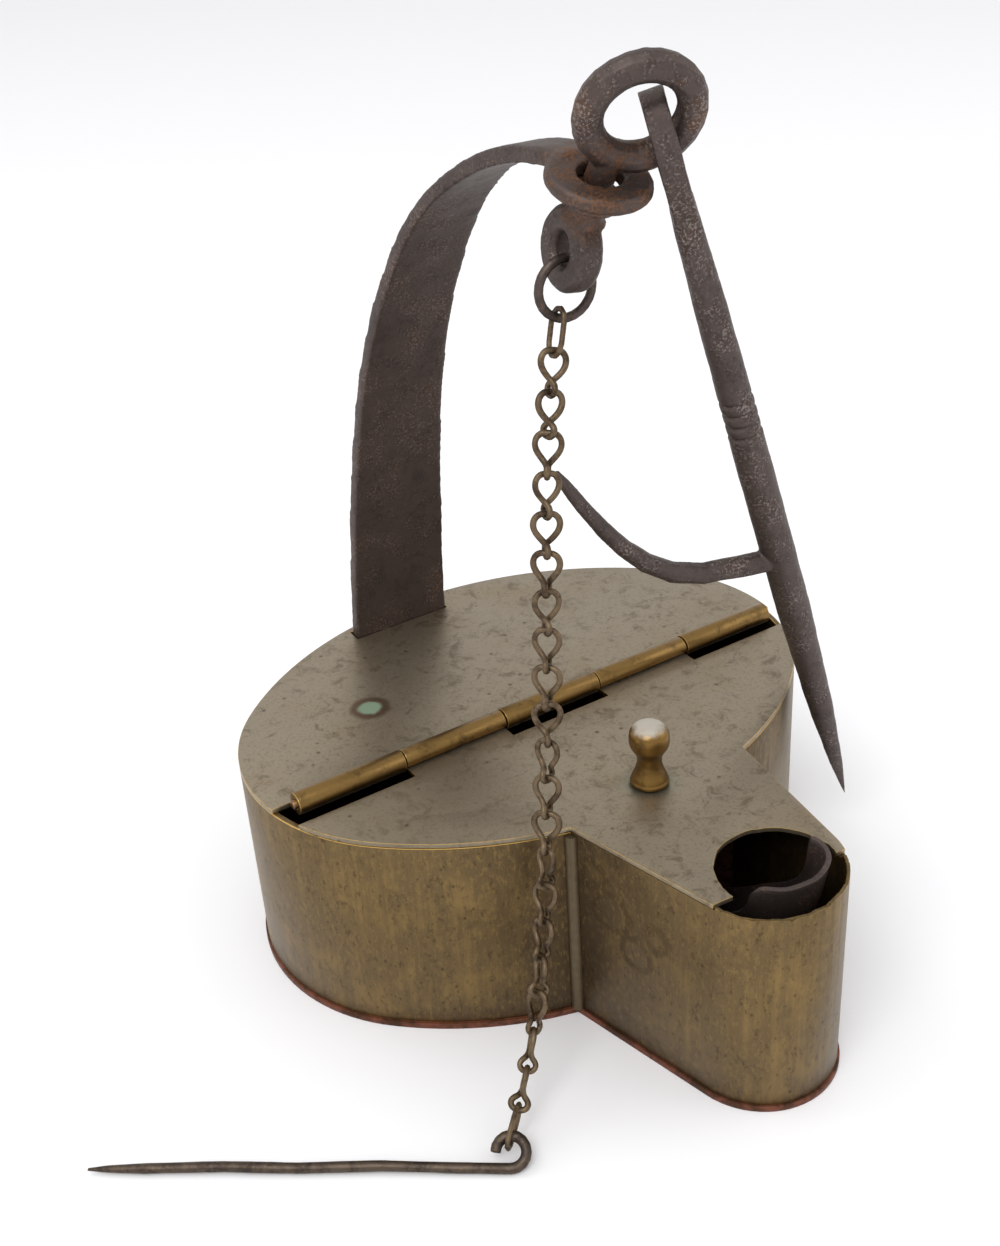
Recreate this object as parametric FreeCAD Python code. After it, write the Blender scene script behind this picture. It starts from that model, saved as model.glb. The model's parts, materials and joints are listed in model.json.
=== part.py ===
import FreeCAD, Part
import math, os
from FreeCAD import Vector as V, Rotation, Placement

# Betty lamp: an oil lamp with a hinged lid, a wick trough in its spout, a strap
# handle, and a swivel that carries a spike hook and a chain with a wick pick.
# Millimetres. The origin is under the middle of the reservoir, on the table.
# X runs along the lid hinge, -Y to the nose of the spout, +Z up.

# Reservoir: a four-arc oval with a spout, made of sheet
body_width = 84.0
body_depth = 64.0
end_radius = 25.0
body_height = 30.5
wall_sheet = 0.8
cover_sheet = 0.7
base_sheet = 0.9
base_lip = 0.3
spout_root_half = 13.9
spout_root_x = 0.5
spout_reach = 59.1
nose_radius = 10.0
nose_x = 0.9
solder_radius = 0.9

# Covers and their hinge
hinge_y = -6.0
hinge_length = 78.0
knuckle_count = 5
knuckle_radius = 1.5
knuckle_bore = 0.7
knuckle_gap = 0.25
roll_turn = 285.0
pin_radius = 0.62
pin_end = 0.5
lid_seat_gap = 0.1
lid_notch = 1.3
lid_front_left = 50.5
lid_front_right = 54.4
bite_radius = 7.5
bite_x = 1.5
bite_y = -51.0
rim_gap = 0.3

# Turned knob, riveted through the lid
knob_y = -28.6
knob_height = 9.0
knob_base_radius = 2.6
knob_head_radius = 2.7
knob_profile = ((0.9, 0.1), (0.64, 0.24), (0.6, 0.44), (0.95, 0.66), (0.98, 0.84), (0.6, 1.0))
tenon_radius = 1.0
tenon_fit = 0.03
rivet_radius = 1.7
rivet_height = 0.5

# Wick trough: half a tube that climbs from the floor to the nose
trough_radius = 5.0
trough_sheet = 0.7
trough_flank = 1.2
trough_slope = 38.0
trough_x = 2.2
trough_front_gap = 0.9
trough_top = 1.2

# Strap handle
strap_sheet = 1.9
strap_x = -4.6
strap_top_x = -3.5
strap_inset = 4.7
strap_arc_z = 19.4
strap_widths = ((0.0, 15.5), (31.0, 15.5), (50.0, 14.65), (70.0, 13.0), (85.0, 11.5),
                (95.0, 10.2), (101.0, 8.6), (104.5, 6.6), (107.0, 5.6), (112.0, 5.4))
strap_arcs = ((196.0, 13.3), (75.8, 24.5), (35.7, 53.5))
slot_gap = 0.15
eye_disc_radius = 5.8
eye_disc_thick = 1.9
eye_disc_hole = 2.5
eye_disc_tilt = 20.0
eye_disc_lap = 0.6

# Swivel: shank through the handle's eye, a ring above and a flat eye below
swivel_lean = (0.06, -0.50, 0.864)
shank_radius = 1.6
ring_radius = 5.4
ring_bar = 1.65
ring_offset = 1.45
ring_clear = 0.6
ring_turn = -21.9
ring_slit = 0.25
ring_slit_angle = -128.0
ring_steps = 24
ring_sides = 10
drop_eye_radius = 4.75
drop_eye_thick = 2.5
drop_eye_hole = 1.8
drop_eye_down = 9.1
drop_eye_turn = 10.9
drop_eye_edge = 0.55

# Spike hanger with its side hook
spike_length = 112.0
spike_bar_angle = -40.0
spike_dir = (0.360, 0.072, -0.930)
eye_slot_gap = 0.35
eye_slot_half = 3.0
eye_limb = 1.05
eye_width = 2.6
spike_radii = ((6.2, 1.4), (20.0, 1.85), (44.0, 2.2), (70.0, 2.25), (92.0, 1.7), (104.0, 0.95),
               (112.0, 0.12))
groove_first = 33.4
groove_step = 1.7
groove_count = 4
groove_width = 0.6
groove_floor = 1.8
hook_turn = 117.0
hook_sides = 8
hook_path = ((0.3, 60.3, 1.55), (5.4, 58.5, 1.5), (10.2, 56.6, 1.45), (13.9, 53.9, 1.4),
             (16.6, 50.4, 1.3), (18.5, 46.6, 1.2), (20.1, 42.2, 1.1), (21.4, 37.6, 0.95),
             (22.4, 33.4, 0.75), (22.9, 31.4, 0.5))

# Chain: a wire ring, an oval link, figure-eight links and a last oval link
link_wire = 0.35
link_gap = 0.2
link_pitch = 4.54
end_pitch = 4.35
loop_width = 3.3
end_width = 3.7
jack_links = 20
wire_sides = 6
loop_step = 36.0
chain_ring_radius = 3.35
chain_ring_wire = 0.55
chain_ring_gap = 0.4
chain_ring_shift = 0.9
chain_ring_sides = 8
chain_ring_steps = 24
link_lean = ((0, 23.0), (2, 18.4), (5, 14.3), (8, 13.7), (11, 14.7), (14, 17.4), (17, 26.0),
             (19, 43.0), (20, 53.0), (21, 62.0))
link_heading = ((0, -148.0), (3, -139.0), (6, -133.0), (10, -134.0), (14, -137.0), (17, -141.0),
                (21, -143.0))
link_twist = ((0, 0.0), (10, -42.0), (17, -82.0), (21, -111.0))

# Wick pick: a wire with a curled eye, lying on the table
pick_wire = 0.68
pick_eye_radius = 1.85
pick_length = 51.0
pick_heading = 144.4
pick_roll = 35.0
pick_sides = 8
pick_gap = 0.5


# Derived levels and places
wall_top = body_height - cover_sheet
hinge_z = wall_top + knuckle_radius
lid_sheet = cover_sheet - lid_seat_gap
half_x = body_width / 2
half_y = body_depth / 2
strap_y = half_y - strap_inset


def unit(v):
    return V(v).normalize()


def export(shape, node):
    shape.exportStep("parts/" + node + ".step")


def oval_arcs():
    cx = half_x - end_radius
    k = cx - (half_x - half_y)
    cy = (cx * cx - k * k) / (2 * k)
    return cx, cy, half_y + cy


def oval_face(grow):
    cx, cy, side = oval_arcs()
    u = V(cx, cy, 0).normalize()
    tx, ty = u.x * (side + grow), u.y * (side + grow) - cy
    a, b = half_x + grow, half_y + grow
    arcs = [Part.Arc(V(-tx, -ty, 0), V(0, -b, 0), V(tx, -ty, 0)),
            Part.Arc(V(tx, -ty, 0), V(a, 0, 0), V(tx, ty, 0)),
            Part.Arc(V(tx, ty, 0), V(0, b, 0), V(-tx, ty, 0)),
            Part.Arc(V(-tx, ty, 0), V(-a, 0, 0), V(-tx, -ty, 0))]
    return Part.Face(Part.Wire([arc.toShape() for arc in arcs]))


def oval_front_y(x):
    cx, cy, side = oval_arcs()
    return cy - math.sqrt(side * side - x * x)


def spout_corner(side):
    x = spout_root_x + side * spout_root_half
    return V(x, oval_front_y(x), 0)


def spout_side(side, grow):
    # Tangent from the corner on the oval to the round nose
    centre = V(nose_x, -(spout_reach - nose_radius), 0)
    corner = spout_corner(side)
    d = corner - centre
    swing = math.acos(nose_radius / d.Length)
    angle = math.atan2(d.y, d.x) - side * swing
    n = V(math.cos(angle), math.sin(angle), 0)
    touch = centre + n * nose_radius
    along = unit(corner - touch)
    root = corner + along * 8
    return root + n * grow, touch + n * grow, centre


def spout_face(grow):
    lr, lt, centre = spout_side(-1, grow)
    rr, rt, centre = spout_side(1, grow)
    tip = centre + V(0, -(nose_radius + grow), 0)
    edges = [Part.LineSegment(lr, lt).toShape(), Part.Arc(lt, tip, rt).toShape(),
             Part.LineSegment(rt, rr).toShape(), Part.LineSegment(rr, lr).toShape()]
    return Part.Face(Part.Wire(edges))


def plan_solid(grow, z0, z1):
    solids = []
    for face in (oval_face(grow), spout_face(grow)):
        face.translate(V(0, 0, z0))
        solids.append(face.extrude(V(0, 0, z1 - z0)))
    return solids[0].fuse(solids[1]).removeSplitter()


def block(x0, x1, y0, y1, z0, z1):
    return Part.makeBox(x1 - x0, y1 - y0, z1 - z0, V(x0, y0, z0))


def spout_block(z0, z1):
    left, right = spout_corner(-1), spout_corner(1)
    reach = spout_reach + 10
    return block(left.x, right.x, -reach, max(left.y, right.y) + 4, z0, z1)


def front_of_lid(extra, z0, z1):
    # Everything in front of the lid's slanting front edge
    far = spout_reach + 20
    line = [V(-20, -lid_front_left - extra, z0), V(24, -lid_front_right - extra, z0),
            V(24, -far, z0), V(-20, -far, z0), V(-20, -lid_front_left - extra, z0)]
    return Part.Face(Part.makePolygon(line)).extrude(V(0, 0, z1 - z0))


def sheet_ring(z0, z1):
    return plan_solid(0, z0, z1).cut(plan_solid(-wall_sheet, z0 - 1, z1 + 1))


def reservoir_wall():
    return sheet_ring(base_sheet, wall_top).cut(spout_block(-5, 60))


def spout_wall():
    low = sheet_ring(base_sheet, wall_top).common(spout_block(-5, 60))
    rim = sheet_ring(wall_top - 1, body_height - 0.05).common(spout_block(-5, 60))
    return low.fuse(rim.common(front_of_lid(rim_gap, -5, 60))).removeSplitter()


def solder_bead(side):
    corner = spout_corner(side)
    rod = Part.makeCylinder(solder_radius, wall_top - base_sheet - 0.4,
                            V(corner.x, corner.y, base_sheet))
    return rod.cut(plan_solid(0, -5, 60))


def bottom_plate():
    return plan_solid(base_lip, 0, base_sheet)


def knuckle_span(i):
    step = hinge_length / knuckle_count
    x0 = -hinge_length / 2 + i * step
    lo = x0 + (knuckle_gap / 2 if i > 0 else 0)
    hi = x0 + step - (knuckle_gap / 2 if i < knuckle_count - 1 else 0)
    return lo, hi


def knuckle(i, outer, side):
    # Sheet rolled up and over the pin; the roll stops short of its own leaf
    def at(r, angle):
        t = math.radians(angle)
        return V(0, hinge_y + side * r * math.cos(t), hinge_z + r * math.sin(t))
    a0, a1 = -90.0, -90.0 - roll_turn
    am = (a0 + a1) / 2
    edges = [Part.Arc(at(outer, a0), at(outer, am), at(outer, a1)).toShape(),
             Part.LineSegment(at(outer, a1), at(knuckle_bore, a1)).toShape(),
             Part.Arc(at(knuckle_bore, a1), at(knuckle_bore, am), at(knuckle_bore, a0)).toShape(),
             Part.LineSegment(at(knuckle_bore, a0), at(outer, a0)).toShape()]
    lo, hi = knuckle_span(i)
    face = Part.Face(Part.Wire(edges))
    face.translate(V(lo, 0, 0))
    return face.extrude(V(hi - lo, 0, 0))


def leaf(i, outer, side, sheet, reach):
    lo, hi = knuckle_span(i)
    z = hinge_z - outer
    y0, y1 = sorted((hinge_y, hinge_y + side * reach))
    return block(lo, hi, y0, y1, z, z + sheet)


def rear_plate():
    set_back = knuckle_radius + 0.3
    plate = oval_face(0)
    plate.translate(V(0, 0, wall_top))
    plate = plate.extrude(V(0, 0, cover_sheet))
    plate = plate.cut(block(-half_x - 5, half_x + 5, -half_y - 5, hinge_y + set_back, -5, 60))
    for i in range(0, knuckle_count, 2):
        plate = plate.fuse(leaf(i, knuckle_radius, 1, cover_sheet, set_back + 0.5))
        plate = plate.fuse(knuckle(i, knuckle_radius, 1))
    w = strap_widths[1][1] / 2 + slot_gap
    slot = block(strap_x - w, strap_x + w, strap_y - slot_gap - 0.3,
                 strap_y + strap_sheet + slot_gap, -5, 60)
    return plate.cut(slot).removeSplitter()


def lid():
    lid_outer = knuckle_radius - lid_seat_gap
    set_back = knuckle_radius + 0.3
    z0 = hinge_z - lid_outer
    plate = plan_solid(0, z0, z0 + lid_sheet)
    plate = plate.cut(block(-half_x - 5, half_x + 5, hinge_y - set_back, half_y + 5, -5, 60))
    for i in range(0, knuckle_count, 2):
        lo, hi = knuckle_span(i)
        side = 3 if i in (0, knuckle_count - 1) else 0
        lo -= knuckle_gap + (side if i == 0 else 0)
        hi += knuckle_gap + (side if i == knuckle_count - 1 else 0)
        plate = plate.cut(block(lo, hi, hinge_y - set_back - lid_notch, half_y, -5, 60))
    for i in range(1, knuckle_count, 2):
        plate = plate.fuse(leaf(i, lid_outer, -1, lid_sheet, set_back + 0.5))
        plate = plate.fuse(knuckle(i, lid_outer, -1))
    bite = Part.makeCylinder(bite_radius, 20, V(bite_x, bite_y, z0 - 5))
    hole = Part.makeCylinder(tenon_radius + tenon_fit, 20, V(0, knob_y, z0 - 5))
    return plate.cut(bite).cut(front_of_lid(0, -5, 60)).cut(hole).removeSplitter()


def hinge_pin():
    half = hinge_length / 2 + pin_end
    return Part.makeCylinder(pin_radius, 2 * half, V(-half, hinge_y, hinge_z), V(1, 0, 0))


def turned(stops):
    # Solid of revolution about Z through (radius, height) stops, closed along the axis
    pts = [V(0, 0, stops[0][1])] + [V(r, 0, z) for r, z in stops] + [V(0, 0, stops[-1][1])]
    return Part.Face(Part.makePolygon(pts + [pts[0]])).revolve(V(0, 0, 0), V(0, 0, 1), 360)


def lid_knob():
    under = hinge_z - (knuckle_radius - lid_seat_gap)
    stops = [(rivet_radius * 0.7, under - rivet_height), (rivet_radius, under),
             (tenon_radius, under), (tenon_radius, body_height), (knob_base_radius, body_height)]
    for size, rise in knob_profile:
        stops.append((size * knob_head_radius, body_height + rise * knob_height))
    knob = turned(stops)
    knob.translate(V(0, knob_y, 0))
    return knob


def wick_trough():
    r, t = trough_radius, trough_sheet
    outer = [Part.LineSegment(V(-r, 0, trough_flank), V(-r, 0, 0)).toShape(),
             Part.Arc(V(-r, 0, 0), V(0, 0, -r), V(r, 0, 0)).toShape(),
             Part.LineSegment(V(r, 0, 0), V(r, 0, trough_flank)).toShape(),
             Part.LineSegment(V(r, 0, trough_flank), V(r - t, 0, trough_flank)).toShape(),
             Part.LineSegment(V(r - t, 0, trough_flank), V(r - t, 0, 0)).toShape(),
             Part.Arc(V(r - t, 0, 0), V(0, 0, -r + t), V(-r + t, 0, 0)).toShape(),
             Part.LineSegment(V(-r + t, 0, 0), V(-r + t, 0, trough_flank)).toShape(),
             Part.LineSegment(V(-r + t, 0, trough_flank), V(-r, 0, trough_flank)).toShape()]
    trough = Part.Face(Part.Wire(outer)).extrude(V(0, -90, 0))
    trough.rotate(V(0, 0, 0), V(1, 0, 0), -trough_slope)
    nose_in = spout_reach - wall_sheet - trough_front_gap
    front_y = -nose_in + 1.0
    tip_z = body_height - trough_top
    drop = 45 * math.sin(math.radians(trough_slope))
    run = 45 * math.cos(math.radians(trough_slope))
    trough.translate(V(trough_x, front_y + run, tip_z - drop))
    keep = block(-20, 24, -nose_in, 10, base_sheet, body_height + trough_top)
    nose = Part.makeCylinder(nose_radius - wall_sheet - trough_front_gap, 80,
                             V(nose_x, -(spout_reach - nose_radius), -10))
    mouth = block(-30, 30, -(spout_reach - nose_radius), 40, -10, 70)
    return trough.common(keep).common(nose.fuse(mouth)).removeSplitter()


def strap_profile():
    # Band in the YZ plane: foot straight down in the lamp, then three tangent arcs
    inner, outer = [], []
    p = V(0, strap_y, strap_arc_z)
    lean = 0.0
    foot = V(0, strap_y, base_sheet)
    out = V(0, 1, 0)
    inner.append(Part.LineSegment(foot, p).toShape())
    outer.append(Part.LineSegment(foot + out * strap_sheet, p + out * strap_sheet).toShape())
    for radius, turn in strap_arcs:
        def at(angle, r):
            t = math.radians(angle)
            c = p - V(0, math.cos(math.radians(lean)), math.sin(math.radians(lean))) * radius
            return c + V(0, math.cos(t), math.sin(t)) * r
        a, b, c = lean, lean + turn / 2, lean + turn
        for edges, r in ((inner, radius), (outer, radius + strap_sheet)):
            edges.append(Part.Arc(at(a, r), at(b, r), at(c, r)).toShape())
        p, lean = at(c, radius), c
    t = math.radians(lean)
    ahead = V(0, -math.sin(t), math.cos(t))
    out = V(0, math.cos(t), math.sin(t))
    tip = p + ahead * 2.0
    inner.append(Part.LineSegment(p, tip).toShape())
    outer.append(Part.LineSegment(p + out * strap_sheet, tip + out * strap_sheet).toShape())
    cap = Part.LineSegment(tip, tip + out * strap_sheet).toShape()
    heel = Part.LineSegment(foot + V(0, strap_sheet, 0), foot).toShape()
    wire = Part.Wire(Part.__sortEdges__(inner + outer + [cap, heel]))
    return Part.Face(wire), p, out


def eye_disc_frame():
    face, end, out = strap_profile()
    n = V(0, -math.sin(math.radians(eye_disc_tilt)), math.cos(math.radians(eye_disc_tilt)))
    down = V(0, -math.cos(math.radians(eye_disc_tilt)), -math.sin(math.radians(eye_disc_tilt)))
    middle = V(strap_top_x, end.y, end.z) + out * (strap_sheet / 2)
    return middle + down * (eye_disc_radius - eye_disc_lap), n


def handle():
    face, end, out = strap_profile()
    widest = strap_widths[0][1]
    face.translate(V(strap_x - widest, 0, 0))
    band = face.extrude(V(2 * widest, 0, 0))
    z0, z1 = strap_widths[1][0], strap_widths[-1][0]
    top = end.z + strap_sheet + 3

    def side_points(side):
        pts = []
        for z, w in strap_widths:
            share = min(max((z - z0) / (end.z - z0), 0), 1)
            x = strap_x + (strap_top_x - strap_x) * share
            pts.append(V(x + side * w / 2, -50, z if z < z1 else max(top, z1)))
        return pts
    left, right = side_points(-1), side_points(1)
    outline = left + right[::-1]
    front = Part.Face(Part.makePolygon(outline + [outline[0]])).extrude(V(0, 100, 0))
    strap = band.common(front)
    centre, n = eye_disc_frame()
    disc = Part.makeCylinder(eye_disc_radius, eye_disc_thick, centre - n * (eye_disc_thick / 2), n)
    rims = [e for e in disc.Edges if e.Length > 2 * math.pi * eye_disc_radius * 0.9]
    disc = disc.makeChamfer(eye_disc_thick * 0.28, rims)
    hole = Part.makeCylinder(eye_disc_hole, 4 * eye_disc_thick, centre - n * (2 * eye_disc_thick), n)
    return strap.fuse(disc).cut(hole).removeSplitter()


def swivel_frame():
    centre, n = eye_disc_frame()
    up = unit(V(*swivel_lean))
    t = math.radians(ring_turn)
    across = V(math.cos(t), math.sin(t), 0)
    across = unit(across - up * across.dot(up))
    return centre, up, across, up.cross(across)


def placed(shape, origin, x, z):
    shape.Placement = Placement(origin, Rotation(x, z.cross(x), z, "ZXY"))
    return shape


ring_height = ring_radius + ring_bar + eye_disc_thick / 2 + ring_clear


def swivel():
    origin, up, across, side = swivel_frame()
    centre = V(ring_offset, 0, ring_height)
    hoop = []
    for i in range(ring_steps):
        q = 2 * math.pi * i / ring_steps
        hoop.append(centre + V(math.cos(q), 0, math.sin(q)) * ring_radius)
    ring = bent_wire(hoop, V(0, 1, 0), ring_bar, ring_sides, True)
    cut = block(ring_radius - ring_bar + 0.7, ring_radius + 3, -4, 4, -ring_slit / 2, ring_slit / 2)
    cut.rotate(V(0, 0, 0), V(0, 1, 0), -ring_slit_angle)
    cut.translate(centre)
    ring = ring.cut(cut)
    foot = ring_height - math.sqrt(ring_radius ** 2 - ring_offset ** 2)
    neck_z = -(drop_eye_down - drop_eye_radius)
    shank = Part.makeCylinder(shank_radius, foot - neck_z + 1.2, V(0, 0, neck_z - 1.2))
    flare = Part.makeCone(shank_radius * 1.45, shank_radius, 2.0, V(0, 0, neck_z - 0.8))
    t = math.radians(drop_eye_turn)
    axis = V(math.cos(t), math.sin(t), 0)
    base = V(0, 0, -drop_eye_down) - axis * (drop_eye_thick / 2)
    eye = Part.makeCylinder(drop_eye_radius, drop_eye_thick, base, axis)
    rims = [e for e in eye.Edges if e.Length > 2 * math.pi * drop_eye_radius * 0.9]
    eye = eye.makeChamfer(drop_eye_edge, rims)
    bore = Part.makeCylinder(drop_eye_hole, 10, V(0, 0, -drop_eye_down) - axis * 5, axis)
    body = ring.fuse([shank, flare, eye]).cut(bore)
    for end in (-1, 1):
        mouth = V(0, 0, -drop_eye_down) + axis * (end * (drop_eye_thick / 2 - drop_eye_edge))
        sink = Part.makeCone(drop_eye_hole, drop_eye_hole + 2 * drop_eye_edge,
                             2 * drop_eye_edge, mouth, axis * end)
        body = body.cut(sink)
    return placed(body.removeSplitter(), origin, across, up)


def bar_point():
    # Middle of the ring's bar where the spike's eye hangs, and the bar's direction there
    origin, up, across, side = swivel_frame()
    t = math.radians(spike_bar_angle)
    centre = origin + across * ring_offset + up * ring_height
    point = centre + (across * math.cos(t) + up * math.sin(t)) * ring_radius
    return point, unit(up * math.cos(t) - across * math.sin(t))


def spike_frame():
    point, tangent = bar_point()
    down = unit(V(*spike_dir))
    across = unit(tangent - down * tangent.dot(down))
    return point, across, down * -1


def spike_shaft():
    shaft = turned([(r, -a) for a, r in spike_radii])
    for i in range(groove_count):
        z = -(groove_first + i * groove_step)
        ring = Part.makeCylinder(2 * groove_floor, groove_width, V(0, 0, z - groove_width / 2))
        core = Part.makeCylinder(groove_floor, 3 * groove_width, V(0, 0, z - 1.5 * groove_width))
        shaft = shaft.cut(ring.cut(core))
    return shaft


def spike_eye():
    r = ring_bar + eye_slot_gap
    big = r + eye_limb
    h = eye_slot_half
    top, low = h, -h
    neck = spike_radii[0][1]
    foot = -(spike_radii[0][0] + eye_width)
    w = eye_width / 2
    outer = [Part.Arc(V(0, -big, top), V(0, 0, top + big), V(0, big, top)).toShape(),
             Part.LineSegment(V(0, big, top), V(0, big, low)).toShape(),
             Part.LineSegment(V(0, big, low), V(0, neck, foot)).toShape(),
             Part.LineSegment(V(0, neck, foot), V(0, -neck, foot)).toShape(),
             Part.LineSegment(V(0, -neck, foot), V(0, -big, low)).toShape(),
             Part.LineSegment(V(0, -big, low), V(0, -big, top)).toShape()]
    plate = Part.Face(Part.Wire(outer))
    plate.translate(V(-w, 0, 0))
    plate = plate.extrude(V(2 * w, 0, 0))
    slot = Part.makeCylinder(r, 20, V(-10, 0, top), V(1, 0, 0))
    slot = slot.fuse(Part.makeCylinder(r, 20, V(-10, 0, low), V(1, 0, 0)))
    slot = slot.fuse(block(-10, 10, -r, r, low, top))
    return plate.cut(slot)


def spike_hook():
    t = math.radians(hook_turn)
    point, across, up = spike_frame()
    down = up * -1
    flat = unit(down.cross(V(0, 0, 1)))
    world = flat * math.cos(t) + down.cross(flat) * math.sin(t)
    side = up.cross(across)
    local = V(world.dot(across), world.dot(side), 0)
    points = [local * r - V(0, 0, a) for r, a, half in hook_path]
    return bent_wire(points, V(-local.y, local.x, 0), [half for r, a, half in hook_path], hook_sides)


def spike_hanger():
    point, across, up = spike_frame()
    body = spike_shaft().fuse([spike_eye(), spike_hook()]).removeSplitter()
    return placed(body, point, across, up)


def bent_wire(points, normal, radius, sides, closed=False):
    # Wire of a many-sided section along a plane path, mitred at each bend
    n = len(points)
    rings = []
    for i, p in enumerate(points):
        if closed:
            a, b = points[i - 1], points[(i + 1) % n]
        else:
            a, b = points[max(i - 1, 0)], points[min(i + 1, n - 1)]
        d0 = unit(p - a) if (p - a).Length > 1e-9 else unit(b - p)
        d1 = unit(b - p) if (b - p).Length > 1e-9 else d0
        along = unit(d0 + d1)
        across = normal.cross(along)
        stretch = 1 / max(along.dot(d0), 0.3)
        r = radius[i] if isinstance(radius, list) else radius
        ring = []
        for k in range(sides):
            q = 2 * math.pi * (k + 0.5) / sides
            ring.append(p + normal * (r * math.cos(q)) + across * (r * stretch * math.sin(q)))
        rings.append(ring)
    faces = []
    last = n if closed else n - 1
    for i in range(last):
        a, b = rings[i], rings[(i + 1) % n]
        tapered = isinstance(radius, list) and radius[i] != radius[i + 1]
        for k in range(sides):
            m = (k + 1) % sides
            corners = [[a[k], a[m], b[m], b[k]]]
            if tapered:
                corners = [[a[k], a[m], b[m]], [a[k], b[m], b[k]]]
            for c in corners:
                faces.append(Part.Face(Part.makePolygon(c + [c[0]])))
    if not closed:
        for ring in (rings[0], rings[-1]):
            faces.append(Part.Face(Part.makePolygon(ring + [ring[0]])))
    shell = Part.makeShell(faces)
    solid = Part.makeSolid(shell)
    if solid.Volume < 0:
        solid.reverse()
    return solid


loop_radius = loop_width / 2 - link_wire
end_radius_wire = end_width / 2 - link_wire
link_reach = (link_pitch + 2 * link_wire + link_gap) / 2
end_reach = (end_pitch + 2 * link_wire + link_gap) / 2


def jack_loop(up):
    # One teardrop loop of a figure-eight link; its legs meet at the waist
    centre = up * (link_reach - loop_radius)
    leg_x, leg_z = link_wire * 0.62, -up * link_wire * 0.9
    d = math.hypot(leg_x, centre - leg_z)
    start = 90 - math.degrees(math.acos(min(loop_radius / d, 1)) + math.asin(min(leg_x / d, 1)))
    start = min(max(start, 0), 80)
    sweep = 180 + 2 * start
    count = max(int(round(sweep / loop_step)), 4)
    pts = [(leg_x, leg_z)]
    for i in range(count + 1):
        q = math.radians(-start + sweep * i / count)
        pts.append((loop_radius * math.cos(q), centre + up * loop_radius * math.sin(q)))
    pts.append((-leg_x, leg_z))
    return pts


def jack_link():
    top = [V(x, 0, z) for x, z in jack_loop(1)]
    low = [V(0, x, z) for x, z in jack_loop(-1)]
    a = bent_wire(top, V(0, 1, 0), link_wire, wire_sides)
    b = bent_wire(low, V(1, 0, 0), link_wire, wire_sides)
    return a.fuse(b)


def oval_link(across):
    count = max(int(round(180 / loop_step)), 4)
    pts = []
    for up in (1, -1):
        for i in range(count + 1):
            q = math.radians(180.0 * i / count)
            side = up * end_radius_wire * math.cos(q)
            rise = up * (end_reach - end_radius_wire + end_radius_wire * math.sin(q))
            pts.append(across * side + V(0, 0, rise))
    return bent_wire(pts, V(0, 0, 1).cross(across), link_wire, wire_sides, True)


def drop_eye_frame():
    origin, up, across, side = swivel_frame()
    t = math.radians(drop_eye_turn)
    axis = across * math.cos(t) + side * math.sin(t)
    return origin - up * drop_eye_down, axis


def chain_ring_frame():
    # The ring hangs in the swivel's lower eye, drawn to one side by the chain
    hole, axis = drop_eye_frame()
    flat = unit(axis - V(0, 0, 1) * axis.z)
    seat = drop_eye_hole - chain_ring_wire - chain_ring_gap
    centre = hole - flat * chain_ring_shift - V(0, 0, seat + chain_ring_radius)
    return centre, flat


def chain_ring():
    centre, flat = chain_ring_frame()
    up = V(0, 0, 1)
    pts = []
    for i in range(chain_ring_steps):
        q = 2 * math.pi * i / chain_ring_steps
        pts.append(centre + (flat * math.cos(q) + up * math.sin(q)) * chain_ring_radius)
    return bent_wire(pts, up.cross(flat), chain_ring_wire, chain_ring_sides, True)


def station(stops, place):
    # Value at a place between hand-set stops, with the ends held
    for (p0, v0), (p1, v1) in zip(stops[:-1], stops[1:]):
        if place <= p1:
            return v0 + (v1 - v0) * max(place - p0, 0) / (p1 - p0)
    return stops[-1][1]


def way(lean, head):
    lean, head = math.radians(lean), math.radians(head)
    return V(math.sin(lean) * math.cos(head), math.sin(lean) * math.sin(head), -math.cos(lean))


def link_ways(slack):
    ways = []
    count = jack_links + 2
    for i in range(count):
        share = 1 if i == count - 1 else slack
        ways.append(way(station(link_lean, i) * share, station(link_heading, i)))
    return ways


def chain_start(down):
    centre, flat = chain_ring_frame()
    side = unit(flat * down.dot(flat) + V(0, 0, down.z))
    return centre + side * chain_ring_radius - down * (chain_ring_wire + link_gap / 2)


def hook_in():
    # From the last link's lower junction back up to the middle of the pick's eye wire
    return pick_wire + pick_gap - link_gap / 2


def chain_slack():
    # The chain leans just so far that the pick's eye comes down on the table
    low, high = 0.0, 1.5
    for i in range(40):
        mid = (low + high) / 2
        ways = link_ways(mid)
        z = chain_start(ways[0]).z + ways[0].z * end_pitch
        z += sum(w.z for w in ways[1:-1]) * link_pitch
        z += ways[-1].z * (end_pitch - hook_in())
        if z < pick_far_z():
            low = mid
        else:
            high = mid
    return low


def link_frames():
    # Upper and lower junction, up direction and first-loop direction of every link
    flat = chain_ring_frame()[1]
    ways = link_ways(chain_slack())
    point = chain_start(ways[0])
    frames = []
    for i, down in enumerate(ways):
        pitch = end_pitch if i in (0, len(ways) - 1) else link_pitch
        up = down * -1
        x = unit(flat - up * flat.dot(up))
        x = Rotation(up, station(link_twist, i)).multVec(x)
        frames.append((point, point + down * pitch, up, x))
        point = point + down * pitch
    return frames


def links():
    shapes = []
    frames = link_frames()
    jack = jack_link()
    for i, (top, low, up, x) in enumerate(frames):
        if i == 0:
            link = oval_link(V(0, 1, 0))
        elif i == len(frames) - 1:
            link = oval_link(V(1, 0, 0))
        else:
            link = jack.copy()
        shapes.append(placed(link, (top + low) / 2, x, up))
    return shapes


def pick_far_z():
    return pick_wire + 2 * pick_eye_radius * math.sin(math.radians(pick_roll))


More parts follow.
